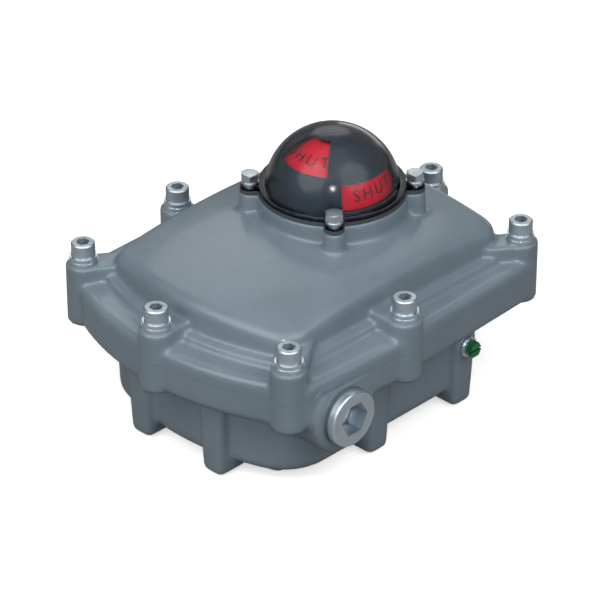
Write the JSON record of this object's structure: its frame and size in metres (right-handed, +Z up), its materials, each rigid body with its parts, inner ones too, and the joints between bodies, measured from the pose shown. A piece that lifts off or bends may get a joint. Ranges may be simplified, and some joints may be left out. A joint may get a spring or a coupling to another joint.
{
  "type": "valve limit switch box",
  "caption": "Cast valve limit switch box with a bolted cover, a domed shut/open indicator, a drive shaft with cams and roller-lever microswitches, and conduit entries.",
  "frame": {"origin": "on the shaft axis, in the plane of the feet and of the bracket pad underneath", "axes": "+Z up along the shaft towards the dome; +X towards the plugged conduit entry; -Y towards the long bowed end with both conduit entries"},
  "size_m": [0.1478, 0.177, 0.1379],
  "materials": {
    "cast_paint": "aluminium casting under blue-grey satin powder paint",
    "cover_hardware": "zinc-plated steel, dull",
    "washer_steel": "stainless steel",
    "dome_hardware": "stainless steel",
    "dome_clear": "clear polycarbonate, polished",
    "gasket_rubber": "black nitrile rubber",
    "mask_black": "black, glossy",
    "rotor_black": "black moulded plastic",
    "panel_red": "signal red",
    "panel_green": "signal green",
    "plain_steel": "turned stainless steel",
    "spring_steel": "spring steel",
    "bronze": "sintered bronze",
    "low_cam_plastic": "red acetal",
    "high_cam_plastic": "green acetal",
    "spacer_plastic": "natural acetal",
    "switch_plastic": "black phenolic",
    "small_plastic": "red-brown nylon",
    "bracket_steel": "zinc-plated sheet",
    "inner_hardware": "zinc-plated steel",
    "terminal_plastic": "pale grey polyamide",
    "earth_green": "green painted screw",
    "earth_washers": "zinc-plated steel",
    "plug_steel": "stainless steel, bright"
  },
  "bodies": {
    "box": {"lower_housing": "cast_paint", "cover": "cast_paint", "cover_seal": "gasket_rubber", "cover_flat_washers": "washer_steel", "cover_spring_washers": "washer_steel", "cover_screws": "cover_hardware", "dome_window": "dome_clear", "dome_gasket": "gasket_rubber", "dome_flat_washers": "washer_steel", "dome_spring_washers": "washer_steel", "dome_screws": "dome_hardware", "indicator_shield": "mask_black", "shaft_bush": "bronze", "thrust_washer": "bronze", "spindle_bush": "bronze", "low_switch": "switch_plastic", "low_pivot_pin": "plain_steel", "high_switch": "switch_plastic", "high_pivot_pin": "plain_steel", "switch_bracket": "bracket_steel", "switch_insulator": "spacer_plastic", "switch_screws": "inner_hardware", "bracket_screws": "inner_hardware", "terminal_block": "terminal_plastic", "terminal_screws": "inner_hardware", "terminal_fixings": "inner_hardware", "inner_earth_screw": "inner_hardware", "earth_flat_washer": "earth_washers", "earth_spring_washer": "earth_washers", "earth_screw": "earth_green", "plug_seal": "gasket_rubber", "conduit_plug": "plug_steel"},
    "shaft": {"drive_shaft": "plain_steel", "indicator_spindle": "plain_steel", "low_cam": "low_cam_plastic", "high_cam": "high_cam_plastic", "cam_spacer": "spacer_plastic", "cam_circlip": "spring_steel", "shaft_circlip": "spring_steel", "retaining_washer": "plain_steel", "shaft_seal": "gasket_rubber", "spindle_circlip": "spring_steel", "spindle_seal": "gasket_rubber", "indicator_rotor": "rotor_black", "shut_panels": "panel_red", "open_panels": "panel_green", "rotor_screw": "plain_steel"},
    "low_lever": {"low_lever": "spring_steel", "low_roller_pin": "plain_steel"},
    "low_roller": {"low_roller": "small_plastic"},
    "low_plunger": {"low_plunger": "small_plastic"},
    "high_lever": {"high_lever": "spring_steel", "high_roller_pin": "plain_steel"},
    "high_roller": {"high_roller": "small_plastic"},
    "high_plunger": {"high_plunger": "small_plastic"}
  },
  "joints": [
    {"name": "shaft_turn", "type": "hinge", "parent": "box", "child": "shaft", "pos_m": [0, 0, 0], "axis": [0, 0, 1], "range_deg": [0, 90]},
    {"name": "low_lever_hinge", "type": "hinge", "parent": "box", "child": "low_lever", "pos_m": [0.0184, -0.018, 0.03], "axis": [0, 0, 1], "range_deg": [0, 8]},
    {"name": "low_roller_spin", "type": "hinge", "parent": "low_lever", "child": "low_roller", "pos_m": [0.01589, -0.00017, 0.03], "axis": [0, 0, 1], "continuous": true},
    {"name": "low_plunger_slide", "type": "slide", "parent": "box", "child": "low_plunger", "axis": [-1, 0, 0], "range_m": [0, 0.00098]},
    {"name": "high_lever_hinge", "type": "hinge", "parent": "box", "child": "high_lever", "pos_m": [0.0184, -0.018, 0.042], "axis": [0, 0, 1], "range_deg": [-8, 0]},
    {"name": "high_roller_spin", "type": "hinge", "parent": "high_lever", "child": "high_roller", "pos_m": [0.01344, -0.0007, 0.042], "axis": [0, 0, 1], "continuous": true},
    {"name": "high_plunger_slide", "type": "slide", "parent": "box", "child": "high_plunger", "axis": [1, 0, 0], "range_m": [0, 0.00098]}
  ],
  "couplings": [
    {"joint": "low_lever_hinge", "follows": "shaft_turn", "ratio": 0.088889},
    {"joint": "low_plunger_slide", "follows": "shaft_turn", "m_per_rad": 0.00062011},
    {"joint": "high_lever_hinge", "follows": "shaft_turn", "ratio": -0.088889},
    {"joint": "high_plunger_slide", "follows": "shaft_turn", "m_per_rad": 0.00062011}
  ]
}
